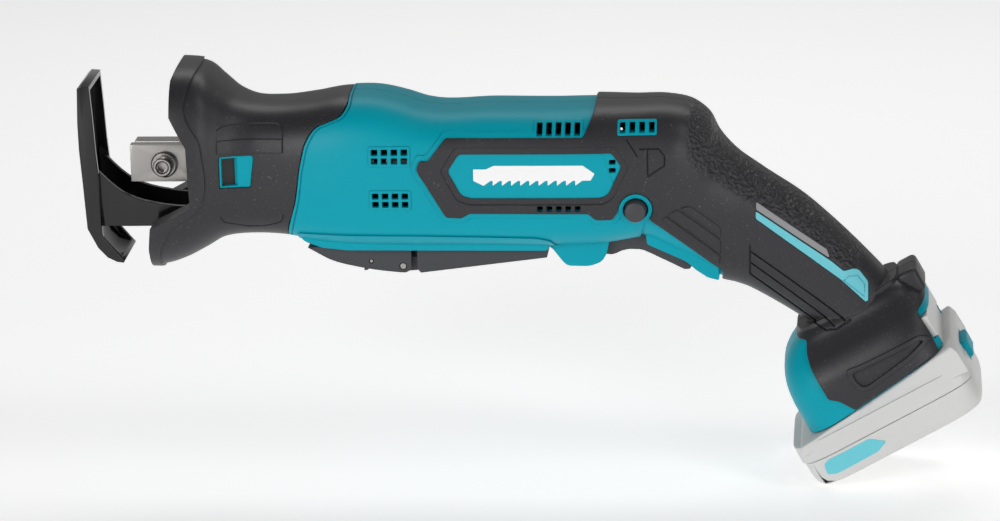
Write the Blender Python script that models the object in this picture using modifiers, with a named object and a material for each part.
"""Compact cordless reciprocating saw with a slide-on battery pack.

The numbers are millimetres, and MM turns them into metres when a mesh is made. X runs along the stroke, from the
blade end back to the handle, Z is up, and the left half of the saw is at negative Y. The origin is in the middle
of the blade clamp's front face, on the axis of the slider, at mid stroke. Each piece is one named object.
"""

import math

import bmesh
import bpy
from mathutils import Matrix, Vector

MM = 0.001

# Driving dimensions, in millimetres.
GAP = 0.3                 # air between pieces that meet
WALL = 2.4                # wall of the plastic housing
RUBBER = 1.0              # thickness of the moulded rubber grip
STROKE = 13.0             # travel of the blade
CRANK_X = 77.0            # the crank gear turns about the vertical line at this X
CRANK_RADIUS = STROKE / 2
GEAR_TEETH = 34
PINION_TEETH = 8
PITCH = 3.095             # circular pitch of both, at the gear's mean radius
GEAR_MEAN_RADIUS = GEAR_TEETH * PITCH / (2 * math.pi)
PINION_RADIUS = PINION_TEETH * PITCH / (2 * math.pi)
GEAR_TOP = -9.4           # foot of the crown teeth
MOTOR_Z = GEAR_TOP + 0.9 + PINION_RADIUS
FOOT_ANGLE = math.radians(29)     # the battery's long axis above the stroke's
LEVER_PIVOT = (107.5, -41.5)      # X and Z of the shoe lever's pin
TAB_PIVOT = (94.8, -39.4)
TRIGGER_PIVOT = (189.5, -29.0)
LOCK_OFF = (201.3, -14.2)

# The housing along its spine: X and Z of the top, X and Z of the bottom, half width, squareness, and how far the
# plastic lies under the outer skin, which is rubber on the handle.
SPINE = [
    (45, 25.6, 45, -28.3, 25.2, 3.0, 0), (59, 24.8, 59, -28.6, 25.5, 3.0, 0), (73, 26.3, 73, -30.6, 27, 3.1, 0),
    (85, 28.3, 85, -31.5, 28.5, 3.2, 0), (99, 28.3, 99, -31.9, 29, 3.2, 0), (109, 26, 109, -31.9, 29, 3.2, 0),
    (117, 23.4, 117, -31.9, 29, 3.2, 0), (145, 23.2, 145, -31.9, 29, 3.2, 0), (169, 23, 169, -32.3, 29, 3.2, 0),
    (185, 23.4, 185, -32.3, 28.6, 3.1, 0), (201, 24.6, 200, -31.5, 28, 3.0, 1.3),
    (213, 24.8, 201.8, -31.2, 27.3, 2.9, 1.3), (224, 22.4, 203.5, -30.8, 26.5, 2.8, 1.3),
    (230, 18.0, 212, -36, 24.5, 2.6, 1.3), (233.6, 11.3, 221.8, -42, 22, 2.5, 1.3),
    (240, 3.9, 231.8, -47.6, 20.5, 2.4, 1.3), (249.8, -3.4, 239.9, -49.9, 19.5, 2.4, 1.3),
    (267.6, -15.5, 248.8, -53.8, 18.5, 2.4, 1.3), (278.4, -25, 259, -59.8, 18, 2.4, 1.3),
    (289.6, -36, 269, -66.4, 18, 2.4, 1.3), (296.8, -43.8, 276, -71.3, 19, 2.5, 1.3),
    (303, -51, 281, -78, 20, 2.5, 1.3),
]
# The nose boot, from its flange back to where it meets the housing: X, Z of the top, Z of the bottom, half width.
BOOT = [
    (4, 38.6, -40.3, 32), (13, 39.2, -40.3, 33), (21, 39.4, -37.8, 33), (30, 38, -33.2, 31.5), (36, 33.2, -29.8, 28.7),
    (42, 28.3, -28.6, 26.3), (48, 25.6, -28.3, 25.2), (59, 24.8, -28.6, 25.5), (73, 26.3, -30.6, 27),
    (85, 28.3, -31.5, 28.5), (95, 28.3, -31.8, 28.9),
]
# Where the boot ends and the housing starts, from the top down.
BOOT_REAR = [(87, 31), (87.7, 26.9), (85.6, 23.3), (80.1, 20.6), (75.6, 18.6), (71.8, 13.5), (69.4, 5.3),
             (66.7, -11.2), (62.4, -26.8), (62, -36)]
# The flange's front, from the top down: it stands back beside the clamp.
NOSE_FRONT = [(21, 44), (18.4, 37), (18.7, 24.4), (25.1, 12.4), (26.0, -12.3), (9.6, -20.5), (8.3, -30), (8, -45)]
# Side view of the rubber that frames the nameplate and covers the handle.
GRIP_OUTLINE = [
    (184.5, 30), (185.4, 23), (181.1, 14.7), (127, 14.4), (120.1, 6.1), (117.1, 6.5), (115.6, 3.4), (116.4, 1),
    (118.3, -1.7), (127, -16.6), (133, -16.8), (136, -14.7), (182.8, -15.1), (185.7, -17.9), (192.3, -17.9),
    (194.4, -14.5), (195.4, -10.5), (198, -8), (201.3, -7.3), (204.9, -8.3), (207.4, -11.3), (207.9, -14.6),
    (206.4, -18.3), (208.9, -21.2), (228.5, -37.7), (232.4, -41.4), (233.8, -56), (256, -66), (264, -70.5),
    (267.8, -69.8), (268, -74.7), (269.5, -78.9), (274.1, -86.3), (276.6, -90.5), (280.7, -91), (287.7, -94.7),
    (293.8, -93.1), (300, -94), (318, -77), (320.4, -72.6), (316.5, -64.5), (311.3, -56.6), (316.2, -51.5),
    (311, -41.5), (302, -44), (250, 30),
]
NAMEPLATE = [(127.9, 3.4), (131.5, 8.8), (192.6, 9.0), (196.1, 3.4), (190.4, -8.0), (187.6, -8.7), (136.6, -8.7),
             (133.4, -7.7)]

COLOURS = {
    "teal_plastic": (0.003, 0.36, 0.45, 0.42, 0.0),
    "black_rubber": (0.05, 0.049, 0.052, 0.75, 0.0),
    "black_plastic": (0.055, 0.055, 0.06, 0.55, 0.0),
    "black_steel": (0.012, 0.012, 0.014, 0.22, 0.2),
    "bare_steel": (0.45, 0.43, 0.41, 0.35, 1.0),
    "cast_aluminium": (0.55, 0.56, 0.57, 0.5, 1.0),
    "copper": (0.72, 0.38, 0.2, 0.4, 1.0),
    "pale_plastic": (0.56, 0.56, 0.56, 0.45, 0.0),
    "clear_lens": (0.75, 0.85, 0.9, 0.1, 0.0),
    "red_wire": (0.5, 0.02, 0.02, 0.5, 0.0),
    "cell_wrap": (0.1, 0.35, 0.2, 0.4, 0.0),
}


# ---------------------------------------------------------------- helpers

def clear_scene():
    for old in list(bpy.data.objects):
        bpy.data.objects.remove(old)


def group(name):
    made = bpy.data.collections.new(name)
    bpy.context.scene.collection.children.link(made)
    return made


def surface_of(slot):
    """The Principled material for one entry of COLOURS."""
    found = bpy.data.materials.get(slot)
    if found:
        return found
    red, green, blue, roughness, metallic = COLOURS[slot]
    made = bpy.data.materials.new(slot)
    made.use_nodes = True
    shader = made.node_tree.nodes["Principled BSDF"]
    shader.inputs["Base Color"].default_value = (red, green, blue, 1)
    shader.inputs["Roughness"].default_value = roughness
    shader.inputs["Metallic"].default_value = metallic
    return made


def add(name, mesh, slot):
    """A named object: a piece if it has a material slot, or else a hidden tool for cutting."""
    made = bpy.data.objects.new(name, mesh)
    if slot:
        made.data.materials.append(surface_of(slot))
        SAW.objects.link(made)
    else:
        made.hide_render = True
        made.display_type = "WIRE"
        TOOLS.objects.link(made)
    return made


def add_bmesh(name, shape, slot=None):
    bmesh.ops.scale(shape, vec=(MM, MM, MM), verts=shape.verts)
    mesh = bpy.data.meshes.new(name)
    shape.to_mesh(mesh)
    shape.free()
    return add(name, mesh, slot)


def boolean(target, tool, operation):
    step = target.modifiers.new(operation.lower(), "BOOLEAN")
    step.object = tool
    step.operation = operation
    step.solver = "EXACT"


def cut(target, *tools):
    for tool in tools:
        boolean(target, tool, "DIFFERENCE")
    return target


def join(target, *tools):
    for tool in tools:
        boolean(target, tool, "UNION")
    return target


def keep(target, *tools):
    """Keeps only what of the target lies inside each tool."""
    for tool in tools:
        boolean(target, tool, "INTERSECT")
    return target


def round_edges(piece, width, segments=2, angle=35):
    """Rounds the piece's edges that turn by more than the angle, in degrees."""
    bevel = piece.modifiers.new("rounded", "BEVEL")
    bevel.width = width * MM
    bevel.segments = segments
    bevel.limit_method = "ANGLE"
    bevel.angle_limit = math.radians(angle)
    return piece


def blocks(name, corners, slot=None):
    """Boxes in one mesh, each given as its lowest and highest corner."""
    shape = bmesh.new()
    for low, high in corners:
        low, high = Vector(low), Vector(high)
        place = Matrix.Translation((low + high) / 2) @ Matrix.Diagonal((*(high - low), 1))
        bmesh.ops.create_cube(shape, size=1, matrix=place)
    return add_bmesh(name, shape, slot)


def block(name, low, high, slot=None):
    return blocks(name, [(low, high)], slot)


def rods(name, ends, slot=None, sides=24):
    """Round rods in one mesh, each given as start, end, radius, and a second radius if it tapers."""
    shape = bmesh.new()
    for start, end, radius, *taper in ends:
        start, end = Vector(start), Vector(end)
        turn = (end - start).to_track_quat("Z", "Y").to_matrix().to_4x4()
        place = Matrix.Translation((start + end) / 2) @ turn
        bmesh.ops.create_cone(shape, cap_ends=True, segments=sides, radius1=radius, radius2=(taper or [radius])[0],
                              depth=(end - start).length, matrix=place)
    return add_bmesh(name, shape, slot)


def rod(name, start, end, radius, slot=None, sides=24):
    return rods(name, [(start, end, radius)], slot, sides)


def across(x, z, reach=60):
    """The two ends of a line across the saw, through X and Z."""
    return (x, -reach, z), (x, reach, z)


def plate(name, outline, near, far, slot=None):
    """A flat outline in X and Z, filled and extruded from near to far along Y, as a mesh."""
    curve = bpy.data.curves.new(name, "CURVE")
    curve.dimensions = "2D"
    curve.fill_mode = "BOTH"
    curve.extrude = (far - near) / 2 * MM
    spline = curve.splines.new("POLY")
    spline.points.add(len(outline) - 1)
    for point, (x, z) in zip(spline.points, outline):
        point.co = (x * MM, z * MM, 0, 1)
    spline.use_cyclic_u = True
    drawn = bpy.data.objects.new(name + "_curve", curve)
    drawn.matrix_world = Matrix.Translation((0, (near + far) / 2 * MM, 0)) @ Matrix.Rotation(math.pi / 2, 4, "X")
    TOOLS.objects.link(drawn)
    bpy.context.view_layer.update()
    shape = bmesh.new()
    shape.from_mesh(bpy.data.meshes.new_from_object(drawn.evaluated_get(bpy.context.evaluated_depsgraph_get())))
    bmesh.ops.transform(shape, matrix=drawn.matrix_world, verts=shape.verts)
    bmesh.ops.remove_doubles(shape, verts=shape.verts, dist=1e-6)
    bmesh.ops.recalc_face_normals(shape, faces=shape.faces)
    bpy.data.objects.remove(drawn)
    mesh = bpy.data.meshes.new(name)
    shape.to_mesh(mesh)
    shape.free()
    return add(name, mesh, slot)


def loft(name, rings, slot=None):
    """A closed skin through rings of points, which all have the same count, with flat ends."""
    shape = bmesh.new()
    rows = [[shape.verts.new(point) for point in ring] for ring in rings]
    count = len(rows[0])
    for first, second in zip(rows, rows[1:]):
        for k in range(count):
            after = (k + 1) % count
            shape.faces.new((first[k], first[after], second[after], second[k]))
    shape.faces.new(rows[0])
    shape.faces.new(reversed(rows[-1]))
    bmesh.ops.recalc_face_normals(shape, faces=shape.faces)
    return add_bmesh(name, shape, slot)


def turned(name, profile, start, axis, slot=None, steps=24):
    """A turned piece: (radius, distance along the axis) points, closed into a ring or ending on the axis."""
    area = sum(a[0] * b[1] - b[0] * a[1] for a, b in zip(profile, profile[1:] + profile[:1]))
    if area > 0:
        profile = profile[::-1]
    mesh = bpy.data.meshes.new(name)
    edges = [(k, k + 1) for k in range(len(profile) - 1)]
    if profile[0][0] > 0:
        edges.append((len(profile) - 1, 0))
    mesh.from_pydata([(r * MM, 0, h * MM) for r, h in profile], edges, [])
    made = add(name, mesh, slot)
    turn = Vector(axis).to_track_quat("Z", "Y").to_matrix().to_4x4()
    made.matrix_world = Matrix.Translation(Vector(start) * MM) @ turn
    screw = made.modifiers.new("turned", "SCREW")
    screw.axis = "Z"
    screw.steps = screw.render_steps = steps
    screw.use_merge_vertices = True
    screw.merge_threshold = 1e-5
    return made


def ring(name, start, axis, inner, outer, length, slot, steps=24):
    """A plain ring or tube, from start along the axis."""
    return turned(name, [(outer, length), (outer, 0), (inner, 0), (inner, length)], start, axis, slot, steps)


def wire(name, route, radius, slot, sides=6):
    """A lead along a smooth curve through the route's points."""
    line = []
    padded = [route[0]] + route + [route[-1]]
    for a, b, c, d in zip(padded, padded[1:], padded[2:], padded[3:]):
        a, b, c, d = map(Vector, (a, b, c, d))
        for k in range(4):
            t = k / 4
            line.append(0.5 * (2 * b + (c - a) * t + (2 * a - 5 * b + 4 * c - d) * t**2
                               + (3 * b - a - 3 * c + d) * t**3))
    line.append(Vector(route[-1]))
    rings = []
    for k, centre in enumerate(line):
        along = (line[min(k + 1, len(line) - 1)] - line[max(k - 1, 0)]).normalized()
        side = along.cross(Vector((0, 1, 0))).normalized()
        rings.append([centre + radius * (math.cos(t) * side + math.sin(t) * along.cross(side))
                      for t in (2 * math.pi * j / sides for j in range(sides))])
    return loft(name, rings, slot)


def signed_power(value, power):
    return math.copysign(abs(value) ** power, value)


def spine_rings(inset, sides=28):
    """Rings round the spine, inset from the plastic's surface."""
    rings = []
    for top_x, top_z, low_x, low_z, half_width, square, cover in SPINE:
        top, low = Vector((top_x, 0, top_z)), Vector((low_x, 0, low_z))
        up = (top - low).normalized()
        shrink = inset + cover
        height, width = (top - low).length / 2 - shrink, half_width - shrink
        rings.append([
            (top + low) / 2 + up * height * signed_power(math.sin(a), 2 / square)
            - Vector((0, width * signed_power(math.cos(a), 2 / square), 0))
            for a in (2 * math.pi * k / sides for k in range(sides))
        ])
    return rings


def boot_rings(inset, sides=28):
    square = 3.0
    return [[
        (x, -(half_width - inset) * signed_power(math.cos(a), 2 / square),
         (top + low) / 2 + ((top - low) / 2 - inset) * signed_power(math.sin(a), 2 / square))
        for a in (2 * math.pi * k / sides for k in range(sides))
    ] for x, top, low, half_width in BOOT]


def foot_point(along, down, y=0.0):
    """A point in the foot's own frame: along the battery's long axis, down and out of the handle, and across."""
    c, s = math.cos(FOOT_ANGLE), math.sin(FOOT_ANGLE)
    return Vector((along * c + down * s, y, along * s - down * c))


def foot_outline(points):
    """Along and down pairs as X and Z pairs."""
    return [(p.x, p.z) for p in (foot_point(*pair) for pair in points)]


def foot_ring(front, rear, down, half_width, inset=0.0, slope=0.0, square=4.0, sides=28):
    """A rounded rectangle across the foot. Slope lifts its rear end towards the handle."""
    middle, half = (front + rear) / 2, (rear - front) / 2 - inset
    made = []
    for k in range(sides):
        a = 2 * math.pi * k / sides
        step = half * signed_power(math.cos(a), 2 / square)
        made.append(foot_point(middle + step, down - slope * (step / half + 1) / 2,
                               (half_width - inset) * signed_power(math.sin(a), 2 / square)))
    return made


def foot_block(name, along, down, across_y, slot=None):
    """A box that lies square to the foot."""
    outline = foot_outline([(along[0], down[0]), (along[1], down[0]), (along[1], down[1]), (along[0], down[1])])
    return plate(name, outline, *across_y, slot)


def arc(centre, radius, start, end, steps=5):
    """Points on an arc in X and Z, from one angle to another, in degrees."""
    turns = (math.radians(start + (end - start) * k / steps) for k in range(steps + 1))
    return [(centre[0] + radius * math.cos(t), centre[1] + radius * math.sin(t)) for t in turns]


# ---------------------------------------------------------------- housing, grips and boot

FOOT_SECTIONS = [
    (199.5, 242, 188, 15.5), (196.5, 244, 190, 17.5), (190.5, 246, 193.5, 19.8), (187.2, 247.5, 196.5, 22.6),
    (184.8, 248.6, 200.5, 26.4), (183.2, 249.2, 205.5, 29.4), (182.4, 249.5, 212, 30.8),
]
FOOT_RIM = 225.0          # the foot's lower rim at its front
FOOT_RIM_RISE = 8.0       # how much nearer to the handle the rim is at its rear
# X and Z of the screws that hold the two halves together, and half the width of the housing there.
SCREWS = [(121, 18.0, 21), (157, 18.0, 21), (121, -27.4, 21), (157, -27.4, 21), (240, -24, 17), (277, -48, 13.5)]


def foot_rings(inset):
    rings = [foot_ring(front, rear, down + inset * (down < 191), width, inset)
             for front, rear, down, width in FOOT_SECTIONS]
    rings.append(foot_ring(182.2, 249.5, FOOT_RIM, 31, inset=inset, slope=FOOT_RIM_RISE))
    return rings


def vent_grid(x, z, columns, rows, step_x, step_z, width, height):
    """Through holes across the saw, from the lower front one."""
    return [((x + i * step_x, -45, z + j * step_z), (x + i * step_x + width, 45, z + j * step_z + height))
            for i in range(columns) for j in range(rows)]


def make_housing():
    """Both halves of the plastic housing."""
    whole = loft("housing_whole", spine_rings(0))
    fin = plate("trigger_fin", [(162, -27), (162, -31), (166, -33.2), (170.5, -39), (173, -40.7), (182, -40.9),
                                (186, -39.3), (188, -36), (189.5, -27)], -13, 13)
    skirt = plate("lever_skirt", [(68, -26), (70, -29), (77, -31.6), (85, -32.9), (166, -33.3), (166, -26)], -17, 17)
    strip = plate("trigger_guard_strip", [(204, -22), (205, -31.5), (224, -44.3), (228, -46.3), (233.5, -46.5),
                                          (234, -38)], -14.5, 14.5)
    join(whole, loft("foot_solid", foot_rings(0)), fin, skirt, strip)
    inner = loft("housing_hollow", spine_rings(WALL)[:-1])
    cut(whole, inner)
    bosses = rods("screw_bosses", [(*across(x, z), 4.2) for x, z, w in SCREWS], sides=20)
    keep(bosses, loft("housing_boss_limit", spine_rings(1.0)))
    join(whole, bosses)
    boot_line = [(x + 0.35, z - 0.2) for x, z in BOOT_REAR]
    front = plate("housing_front_tool", [(30, 50), *boot_line, (30, -50)], -50, 50)
    vents = blocks("vents", [
        *vent_grid(97.8, 5.0, 4, 2, 3.9, 3.4, 2.6, 2.4), *vent_grid(97.8, -12.6, 4, 2, 3.9, 3.4, 2.6, 2.4),
        *vent_grid(162.8, 15.4, 5, 1, 3.7, 0, 2.3, 4.4), *vent_grid(162.8, -14.0, 5, 1, 3.7, 0, 2.3, 2.2),
        *vent_grid(195.4, 16.3, 4, 1, 3.8, 0, 2.2, 3.6), *vent_grid(191.2, 1.2, 1, 2, 0, 3.2, 2.6, 1.9),
    ])
    trigger_slot = plate("trigger_slot", [(186.8, -20), (186.8, -45), (200, -60), (226, -46.3), (226, -34),
                                          (214, -20)], -9, 9)
    fin_hollow = block("fin_hollow", (168, -10.6, -37.5), (186.5, 10.6, -29.2))
    lock_hole = rod("lock_off_hole", *across(*LOCK_OFF), 4.9)
    pad_hole = rod("clamp_pad_hole", (80, 0, -40), (80, 0, -24), 3.4)
    screw_holes = rods("screw_holes", [((x, -w + 4, z), (x, w + 20, z), 1.7) for x, z, w in SCREWS], sides=12)
    screw_heads = rods("screw_head_holes", [((x, w - 5.5, z), (x, w + 20, z), 3.4) for x, z, w in SCREWS], sides=16)
    pin_hole = rod("trigger_pin_room", *across(*TRIGGER_PIVOT, 12.4), 1.5, sides=16)
    neck_head = foot_block("neck_head_room", (193, 262), (203, 213.2), (-24.2, 24.2))
    neck_stem = foot_block("neck_stem_room", (193.6, 263), (210, 240), (-21.4, 21.4))
    terminal_room = foot_block("terminal_room", (196, 236), (192.5, 206), (-15, 15))
    lead_room = foot_block("lead_room", (206, 226), (184, 194), (-8, 8))
    cut(whole, front, vents, trigger_slot, fin_hollow, lock_hole, pad_hole, screw_holes, neck_head, neck_stem,
        terminal_room, lead_room, screw_heads, pin_hole)
    for side, low, high in (("left", -60, -0.15), ("right", 0.15, 60)):
        keep(block(side + "_housing", (20, low, -150), (360, high, 80), "teal_plastic"), whole)


def make_grips():
    """The rubber that is moulded over each half: it frames the nameplate and wraps the handle."""
    whole = join(loft("grip_whole", spine_rings(-GAP - RUBBER)), loft("foot_grip_whole", foot_rings(-GAP - RUBBER)),
                 foot_block("rear_tab", (242.6, 251.2), (187, 197.6), (-11.5, 11.5)))
    inner = join(loft("grip_inside", spine_rings(-GAP)), loft("foot_grip_inside", foot_rings(-GAP)))
    outline = plate("grip_outline", GRIP_OUTLINE, -50, 50)
    strip_room = plate("strip_room", [(203.5, -16), (206.2, -18.6), (228.5, -37.2), (234.6, -37.3), (234.8, -48),
                                      (232, -50), (216, -50), (196, -34)], -50, 50)
    name_room = plate("nameplate_room", NAMEPLATE, -50, 50)
    vent_room = blocks("grip_vent_room", [((194.4, -45, 15.4), (209.9, 45, 20.9)),
                                          *vent_grid(162.5, -14.2, 5, 1, 3.7, 0, 2.9, 2.6)])
    lock_room = rod("lock_off_grip_room", *across(*LOCK_OFF), 6.6)
    screw_room = rods("screw_grip_room", [((x, 0, z), (x, 45, z), 3.8) for x, z, w in SCREWS])
    battery_room = plate("grip_battery_room", foot_outline([
        (160, FOOT_RIM), (180, FOOT_RIM - 0.4), (251, FOOT_RIM - FOOT_RIM_RISE - 0.4), (270, FOOT_RIM - 10), (270, 260),
        (160, 260)]), -50, 50)
    rear_room = foot_block("grip_rear_room", (242, 262), (202.4, 240), (-24.4, 24.4))
    keep(cut(whole, inner), outline)
    cut(whole, strip_room, name_room, vent_room, lock_room, battery_room, rear_room)
    for side, low, high in (("left", -60, -0.15), ("right", 0.15, 60)):
        grip = keep(block(side + "_grip", (100, low, -130), (345, high, 60), "black_rubber"), whole)
        if side == "right":
            cut(grip, screw_room)


def make_boot():
    """The rubber boot over the gear housing, with its flared nose."""
    boot = loft("nose_boot", boot_rings(0), "black_rubber")
    front = plate("boot_front_tool", [(-5, 50)] + NOSE_FRONT + [(-5, -50)], -50, 50)
    rear = plate("boot_rear_tool", BOOT_REAR + [(100, -50), (100, 50)], -50, 50)
    hollow = loft("boot_hollow", boot_rings(3.2)[3:])
    mouth = block("boot_mouth", (-5, -19, -27.3), (31, 19, 16.5))
    windows = block("boot_windows", (37.5, -50, -5.4), (50, 50, 6.6))
    cut(boot, front, rear, hollow, mouth, windows)


def make_screws():
    """The screws go in from the right, through one half's bosses into the other's."""
    for number, (x, z, w) in enumerate(SCREWS, 1):
        length = 2 * w - 9.8
        turned(f"housing_screw_{number}", [(0, 0), (1.4, 0.6), (1.4, length), (3.0, length), (3.0, length + 1.6),
                                           (2.4, length + 2.2), (1.3, length + 2.2), (0, length + 1.2)],
               (x, 4.6 - w, z), (0, 1, 0), "bare_steel", 12)


# ---------------------------------------------------------------- drive train

def make_gear_housing():
    limit = loft("gear_housing_limit", boot_rings(4.0)[3:])
    body = block("gear_housing", (31.3, -40, -21.8), (93.5, 40, 11.7), "cast_aluminium")
    chamber = rod("crank_chamber", (CRANK_X, 0, -14.6), (CRANK_X, 0, 30), 20.5, sides=32)
    seat = rod("bearing_seat", (CRANK_X, 0, -30), (CRANK_X, 0, -12), 9.8)
    guide = block("slider_guide", (20, -9.3, -8.3), (70, 9.3, 8.3))
    boss = rod("pinion_mouth", (88, 0, MOTOR_Z), (100, 0, MOTOR_Z), 6.4)
    cut(keep(body, limit), chamber, seat, guide, boss)
    keep(block("gear_housing_cover", (31.3, -40, 12.0), (90, 40, 17.5), "cast_aluminium"), limit)
    for name, start in (("front_slider_bush", 32.3), ("rear_slider_bush", 46.0)):
        bush = block(name, (start, -9, -8), (start + 9, 9, 8), "cast_aluminium")
        cut(bush, block(name + "_bore", (start - 5, -5.3, -4.3), (start + 15, 5.3, 4.3)))


def make_slider():
    """The slider with its crank yoke, and the blade clamp on its front end."""
    bar = block("slider", (25.3, -5, -4), (72, 5, 4), "bare_steel")
    join(bar, block("yoke", (CRANK_X - 7.6, -13, -4), (CRANK_X + 7.4, 13, 4)))
    cut(bar, block("yoke_slot", (CRANK_X - 4.6, -9.8, -10), (CRANK_X + 4.6, 9.8, 10)))
    clamp = block("blade_clamp", (0, -7, -7.5), (25, 7, 7.5), "bare_steel")
    join(clamp, block("near_jaw", (-1, -7, -7.5), (12, -2.6, 7.5)))
    slot = block("blade_slot", (-3, -2.6, -9), (18, -0.9, 9))
    bore = rod("clamp_bolt_bore", (12.6, -20, -0.3), (12.6, 5, -0.3), 2.6)
    round_edges(cut(clamp, slot, bore), 0.5, 2)
    ring("clamp_washer", (12.6, -7.3, -0.3), (0, -1, 0), 2.9, 5.3, 1.6, "bare_steel")
    turned("clamp_bolt", [(0, -11), (2.2, -10.4), (2.2, 1.9), (4.0, 1.9), (4.0, 5.4), (3.5, 6.0), (2.2, 6.0),
                          (2.2, 3.4), (0, 3.0)], (12.6, -7.3, -0.3), (0, -1, 0), "bare_steel")


def tooth_row(shape, count, radial, tangential, axial, at_radius, base, vertical):
    """Tapered teeth round an axis: boxes that narrow towards their tips, in a bmesh."""
    for k in range(count):
        made = bmesh.ops.create_cube(shape, size=1)["verts"]
        for vert in made:
            tip = vert.co.z > 0
            vert.co = (vert.co.x * radial, vert.co.y * tangential * (0.6 if tip else 1), vert.co.z * axial)
        if vertical:
            move = Matrix.Translation((at_radius, 0, base + axial / 2))
        else:
            move = Matrix.Translation((base, 0, at_radius + axial / 2))
        turn = Matrix.Rotation(2 * math.pi * k / count, 4, "Z" if vertical else "X")
        bmesh.ops.transform(shape, matrix=turn @ move, verts=made)


def make_crank():
    """The crown gear that turns about the vertical axis, with its shaft below and its crank pin above."""
    height = 1.9
    disc = turned("crank_gear", [(0, -12), (3, -12), (3, -4.1), (18.6, -4.1), (18.6, 0), (0, 0)],
                  (CRANK_X, 0, GEAR_TOP), (0, 0, 1), "bare_steel", 36)
    teeth = bmesh.new()
    tooth_row(teeth, GEAR_TEETH, 3.4, 0.36 * PITCH, height, GEAR_MEAN_RADIUS, -0.4, True)
    tool = add_bmesh("crown_teeth", teeth)
    tool.location = Vector((CRANK_X, 0, GEAR_TOP)) * MM
    join(disc, tool)
    rod("crank_pin", (CRANK_X, -CRANK_RADIUS, GEAR_TOP + GAP), (CRANK_X, -CRANK_RADIUS, 5), 3.0, "bare_steel")
    ring("crank_bearing", (CRANK_X, 0, -20.9), (0, 0, 1), 3.3, 9.5, 6.0, "bare_steel")


def make_motor():
    front = 105.0
    shaft = rod("motor_shaft", (91, 0, MOTOR_Z), (163, 0, MOTOR_Z), 1.5, "bare_steel", 12)
    pinion = rod("pinion", (CRANK_X + GEAR_MEAN_RADIUS - 1.8, 0, MOTOR_Z),
                 (CRANK_X + GEAR_MEAN_RADIUS + 1.8, 0, MOTOR_Z), PINION_RADIUS - 1.0, "bare_steel", 16)
    teeth = bmesh.new()
    tooth_row(teeth, PINION_TEETH, 3.2, 0.4 * PITCH, 2.2, PINION_RADIUS - 1.4, 0, False)
    tool = add_bmesh("pinion_teeth", teeth)
    half_step = math.pi / PINION_TEETH
    tool.matrix_world = (Matrix.Translation(Vector((CRANK_X + GEAR_MEAN_RADIUS, 0, MOTOR_Z)) * MM)
                         @ Matrix.Rotation(half_step + math.pi, 4, "X"))
    cut(join(pinion, tool), rod("pinion_bore", (80, 0, MOTOR_Z), (110, 0, MOTOR_Z), 1.8, sides=12))
    turned("motor_can", [(18, 0), (7, 0), (7, 1.6), (16.4, 1.6), (16.4, 46), (18, 46)],
           (front, 0, MOTOR_Z), (1, 0, 0), "bare_steel", 28)
    turned("motor_end_bell", [(18, 0), (7, 0), (7, 9), (9, 9), (9, 2.4), (18, 2.4)],
           (front + 46.3, 0, MOTOR_Z), (1, 0, 0), "black_plastic", 28)
    for side in (-1, 1):
        magnet = ring("left_magnet" if side < 0 else "right_magnet", (front + 4, 0, MOTOR_Z), (1, 0, 0), 13.8, 15.9,
                      36, "black_plastic")
        keep(magnet, block(f"magnet_side_{side}", (80, 3 if side > 0 else -30, -40), (180, 30 if side > 0 else -3, 40)))
    ring("armature", (front + 7, 0, MOTOR_Z), (1, 0, 0), 1.8, 13.0, 30, "copper")
    ring("commutator", (front + 38.4, 0, MOTOR_Z), (1, 0, 0), 1.8, 6.0, 7, "copper", 16)
    ring("front_motor_bearing", (front + 0.2, 0, MOTOR_Z), (1, 0, 0), 1.8, 6.6, 4, "bare_steel")
    ring("rear_motor_bearing", (front + 50, 0, MOTOR_Z), (1, 0, 0), 1.8, 6.6, 4, "bare_steel")
    fan = ring("cooling_fan", (front - 2.6, 0, MOTOR_Z), (1, 0, 0), 1.8, 15.0, 1.4, "black_plastic")
    blades = bmesh.new()
    for k in range(9):
        turn = Matrix.Rotation(2 * math.pi * k / 9, 4, "X") @ Matrix.Translation((front - 3.4, 0, 11.2))
        bmesh.ops.create_cube(blades, size=1, matrix=turn @ Matrix.Diagonal((2.6, 0.9, 7.2, 1)))
    tool = add_bmesh("fan_blades", blades)
    tool.location = Vector((0, 0, MOTOR_Z)) * MM
    join(fan, tool)
    return shaft


# ---------------------------------------------------------------- shoe, its lever and the lamp

def make_shoe():
    tray = [(-20.0, 33.5), (-20.4, 18), (-20.2, 7), (-19.3, -6.5), (-18.2, -25), (-14.2, -32.9), (-10.6, -36.8),
            (-7.0, -38.6), (-3.8, -39.0), (-3.8, -38.0), (-12.0, -28.3), (-12.6, -24.2), (-12.6, -5.3), (-13.6, 6.6),
            (-14.3, 20), (-15.2, 33.3)]
    inside = [(-18.0, 31.4), (-18.4, 18), (-18.2, 7), (-17.3, -6.5), (-16.2, -24.5), (-12.7, -31.6), (-9.6, -35),
              (-6.2, -36.7), (10, -37.2), (10, 31.4)]
    shoe = plate("shoe_plate", tray, -15, 15, "black_steel")
    cut(shoe, plate("shoe_inside", inside, -13, 13), block("shoe_blade_slot", (-30, -4.5, -14), (-10, 4.5, 24)))
    upper = [(-16.6, 2), (-12.6, -2.4), (-8, -7), (-3, -10.8), (2.5, -13.2), (8.5, -14.7), (17, -16), (26, -16.3)]
    lower = [(26, -24.3), (8, -24.3), (-2, -24.4), (-15.5, -24.2)]
    bracket = plate("shoe_bracket", upper + lower, -12.7, 12.7, "black_steel")
    room = plate("bracket_room", [(-30, 20), (40, 20), (40, -22.1), (-30, -22.1)], -10.6, 10.6)
    front_room = block("bracket_front_room", (-30, -10.6, -30), (-5, 10.6, 20))
    cut(bracket, room, front_room)
    join(bracket, block("shoe_tongue", (8, -8.5, -24.3), (99, 8.5, -22.1)))


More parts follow.
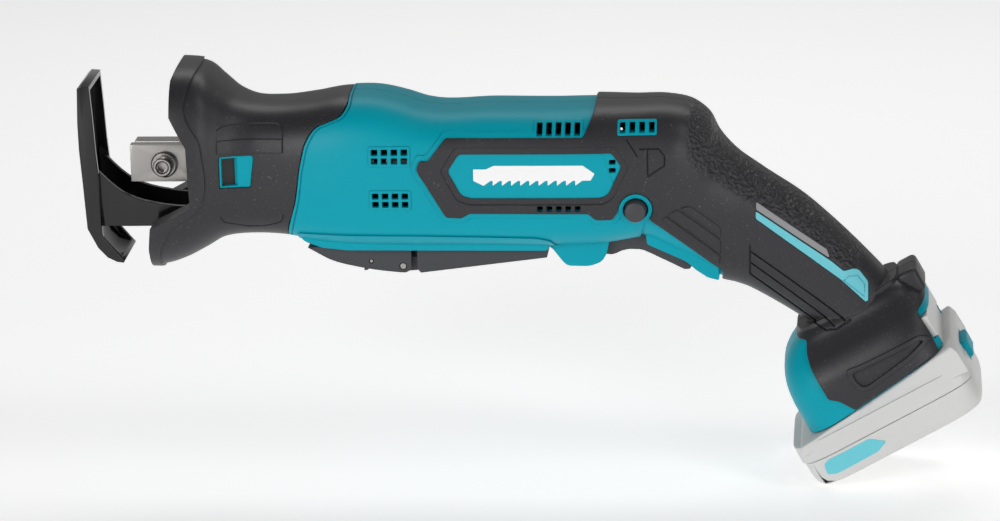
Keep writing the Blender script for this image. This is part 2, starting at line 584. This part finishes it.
def make_shoe_lever():
    """The black pieces under the body: the fixed base, the lever that clamps the shoe, and the lock tab."""
    base_outline = [(69.5, -33.8), (72, -34.6), (78.6, -38.3), (88.5, -41.2), (98.5, -43.0),
                    *arc((107.4, -40.8), 3.4, -100, 0, 4), (110.8, -33.9), (85, -33.6), (77, -33.4)]
    base = plate("shoe_lever_base", base_outline, -11, 11, "black_plastic")
    cheek = plate("lever_cheek_room", [(103, -30), (103, -50), (115, -50), (115, -30)], -7.6, 7.6)
    cut(base, cheek, block("tab_room", (87.5, -2.8, -50), (99.5, 2.8, -35.6)),
        rods("base_pin_holes", [(*across(*LEVER_PIVOT), 1.5), (*across(*TAB_PIVOT), 0.95)], sides=16),
        rod("base_pad_hole", (80, 0, -60), (80, 0, -20), 3.4))
    lever = plate("shoe_lever", [(113.2, -34.0), (113.2, -42.4), (114.4, -44.2), (165.1, -37.9), (165.4, -34.0)],
                  -11, 11, "black_plastic")
    join(lever, plate("lever_tongue", [*arc(LEVER_PIVOT, 3.0, 90, 270, 8), (114.2, -44.0), (114.2, -38.5)], -7.2, 7.2))
    cut(lever, rod("lever_pin_hole", *across(*LEVER_PIVOT), 1.5, sides=16))
    rod("shoe_lever_pin", *across(*LEVER_PIVOT, 10.9), 1.2, "bare_steel", 16)
    tab = plate("lever_lock_tab", [(90.6, -41.4), (91.0, -45.6), (92.3, -45.4), (95.0, -42.2),
                                   *arc(TAB_PIVOT, 2.4, -60, 180, 8)], -2.4, 2.4, "black_plastic")
    cut(tab, rod("tab_pin_hole", *across(*TAB_PIVOT), 0.95, sides=12))
    rod("lock_tab_pin", *across(*TAB_PIVOT, 10.9), 0.65, "bare_steel", 12)
    rods("shoe_clamp_pad", [((80, 0, -36.5), (80, 0, -24.6), 3.0)], "bare_steel", 20)


def make_lamp():
    turned("lamp_lens", [(0, -4), (2.6, -3.2), (3.4, -1.5), (3.4, 4), (0, 4)], (26.5, 0, -13.5), (1, 0, -0.12),
           "clear_lens", 16)


# ---------------------------------------------------------------- switchgear in the handle

def make_trigger():
    face = [(189, -36.5), (190.6, -37.3), (195.8, -35.3), (201.7, -35.3), (209.7, -38.6), (219.7, -43.5),
            (221.7, -43.3), (222.9, -41.2)]
    trigger = plate("trigger", [(187.5, -26.5)] + [(187.4, -37.5)] + face + [(208, -30.2), (203, -26.5),
                                                                           (197, -24.0), (191.5, -24.4)],
                    -8.4, 8.4, "black_plastic")
    cut(trigger, rod("trigger_pin_hole", *across(*TRIGGER_PIVOT), 1.5, sides=16),
        plate("trigger_hollow", [(198.5, -20), (198.5, -30.5), (205, -31.6), (212, -35.4), (214, -20)], -6.2, 6.2))
    rod("trigger_pin", *across(*TRIGGER_PIVOT, 12), 1.2, "bare_steel", 16)


def make_lock_off():
    lock = turned("lock_off_button", [(0, 0), (3.4, 0), (4.3, 0.9), (4.3, 6), (4.3, 51), (4.3, 57.1), (3.4, 58),
                                      (0, 58)], (LOCK_OFF[0], -31.2, LOCK_OFF[1]), (0, 1, 0), "black_plastic", 24)
    return lock


def make_switch():
    box = plate("switch_unit", [(207.2, -24), (207.2, -6), (229, -6), (232, -12), (230.5, -31.5), (222, -31.5)],
                -8.5, 8.5, "black_plastic")
    return box


def make_terminals():
    foot_block("terminal_block", (200, 232), (194, 202.6), (-12, 12), "black_plastic")
    for side, y in (("left", -7.4), ("right", 6.6)):
        foot_block(side + "_terminal", (212, 221), (202.9, 209), (y, y + 0.8), "copper")


def make_leads():
    """The leads that stay inside the housing."""
    end = foot_point(216, 192.6)
    for side, colour, slot in ((-1, "black", "black_plastic"), (1, "red", "red_wire")):
        y = 5 * side
        wire("battery_lead_" + colour, [(end.x, y, end.z), (276, y, -58), (266, y, -49), (254, y, -38),
                                        (242, y, -35), (233.2, y, -27)], 1.0, slot)
        wire("motor_lead_" + colour, [(206, y, -8), (203, y * 2.6, -2), (196, y * 2.6, 6), (180, y * 2.4, 10),
                                      (166, y * 2.4, 8), (155, y * 2.5, MOTOR_Z + 4)], 0.9, slot)


# ---------------------------------------------------------------- battery pack

def make_battery():
    """The pack: a lower case, an upper case with the T-shaped neck that slides into the foot, and three cells."""
    split = 233.0
    whole = loft("battery_whole", [foot_ring(*section, square=9) for section in (
        (174.5, 252, 226.4, 30.5), (174.5, 252, 239, 30.5), (175.6, 251, 243, 29.8), (178.5, 248.5, 246.4, 27.2))])
    wedge = plate("battery_wedge", foot_outline([(178, 230), (178, 226), (184, FOOT_RIM + 0.5),
                                                 (250.2, FOOT_RIM - FOOT_RIM_RISE + 0.65), (251, 230)]), -29, 29)
    head = foot_block("battery_neck_head", (194, 247.5), (203.6, 212.6), (-23.6, 23.6))
    stem = foot_block("battery_neck_stem", (194.6, 247), (206, 229), (-20.8, 20.8))
    join(whole, wedge, head, stem)
    cells = loft("cell_room", [foot_ring(*section, square=12) for section in (
        (177, 249.7, 226.8, 28.3), (177, 249.7, 238.5, 28.3), (178, 248.7, 242, 27.4), (180, 246.7, 245.2, 25))])
    slots = [foot_block(f"{side}_terminal_slot", (180, 222.5), (200, 210), (y, y + 2))
             for side, y in (("left", -8), ("right", 6))]
    button_room = foot_block("release_button_room", (243.9, 262), (223.2, 231.8), (-9.4, 9.4))
    cut(whole, cells, *slots, button_room)
    upper = foot_block("battery_upper_case", (160, 270), (180, split - 0.15), (-50, 50), "pale_plastic")
    lower = foot_block("battery_lower_case", (160, 270), (split + 0.15, 260), (-50, 50), "pale_plastic")
    keep(upper, whole)
    keep(lower, whole)
    for number, y in enumerate((-18.3, 0, 18.3), 1):
        rod(f"battery_cell_{number}", foot_point(181, 236, y), foot_point(243, 236, y), 8.8, "cell_wrap", 20)
    round_edges(foot_block("release_button", (246.8, 254.2), (223.8, 231.2), (-8.8, 8.8), "teal_plastic"), 0.8, 1)


clear_scene()
SAW = group("reciprocating_saw")
TOOLS = group("cutting_tools")
make_housing()
make_grips()
make_boot()
make_screws()
make_gear_housing()
make_slider()
make_crank()
make_motor()
make_shoe()
make_shoe_lever()
make_lamp()
make_trigger()
make_lock_off()
make_switch()
make_terminals()
make_leads()
make_battery()
